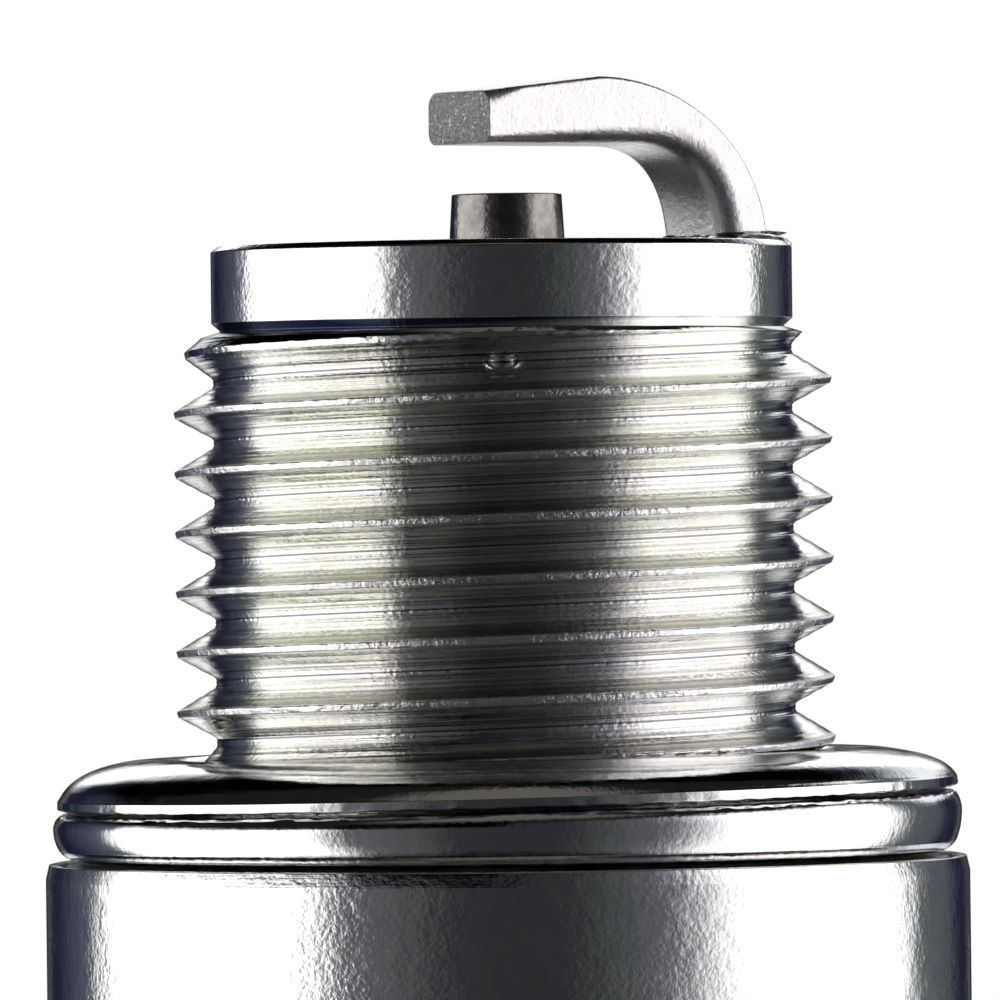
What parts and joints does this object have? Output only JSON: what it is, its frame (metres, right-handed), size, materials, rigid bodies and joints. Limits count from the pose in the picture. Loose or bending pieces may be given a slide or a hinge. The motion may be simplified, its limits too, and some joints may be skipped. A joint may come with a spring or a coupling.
{
  "type": "spark plug",
  "caption": "Gasket-seat spark plug with a threaded nose, bent ground electrode, captive folded gasket, hexagonal shell, ribbed insulator and screw-on terminal.",
  "frame": {"origin": "on the plug's axis, in the plane of the shell's gasket seat, where the plug is screwed into the cylinder head", "axes": "+Z along the axis to the firing end, -Z to the terminal; two opposite flats of the hexagon face +X and -X; the ground electrode's root lies 32 degrees from +X towards +Y"},
  "size_m": [0.0208, 0.024, 0.0668],
  "materials": {
    "plated_shell": "bright zinc plate with a faint iridescence",
    "ground_nickel": "satin nickel alloy, sheared end rough",
    "gasket_steel": "bright plated sheet",
    "alumina": "white alumina, glazed outside the shell",
    "plain_steel": "plain steel",
    "talc": "pressed powder",
    "centre_nickel": "dark nickel alloy, lightly textured",
    "copper": "plain copper",
    "seal_glass": "fused copper-filled glass",
    "resistor_mix": "fused carbon and glass powder",
    "terminal_plate": "bright nickel plate"
  },
  "bodies": {
    "plug_body": {"shell": "plated_shell", "ground_electrode": "ground_nickel", "insulator": "alumina", "lower_packing_washer": "plain_steel", "lower_packing_ring": "plain_steel", "talc_fill": "talc", "upper_packing_ring": "plain_steel", "centre_electrode_sheath": "centre_nickel", "centre_electrode_core": "copper", "lower_glass_seal": "seal_glass", "resistor": "resistor_mix", "upper_glass_seal": "seal_glass", "terminal_stud": "plain_steel"},
    "gasket": {"gasket": "gasket_steel"},
    "terminal_nut": {"terminal_nut": "terminal_plate"}
  },
  "joints": [
    {"name": "gasket_spin", "type": "hinge", "parent": "plug_body", "child": "gasket", "pos_m": [0, 0, 0], "axis": [0, 0, 1], "continuous": true},
    {"name": "terminal_nut_removal", "type": "slide", "parent": "plug_body", "child": "terminal_nut", "axis": [0, 0, -1], "range_m": [0, 0.01]}
  ]
}
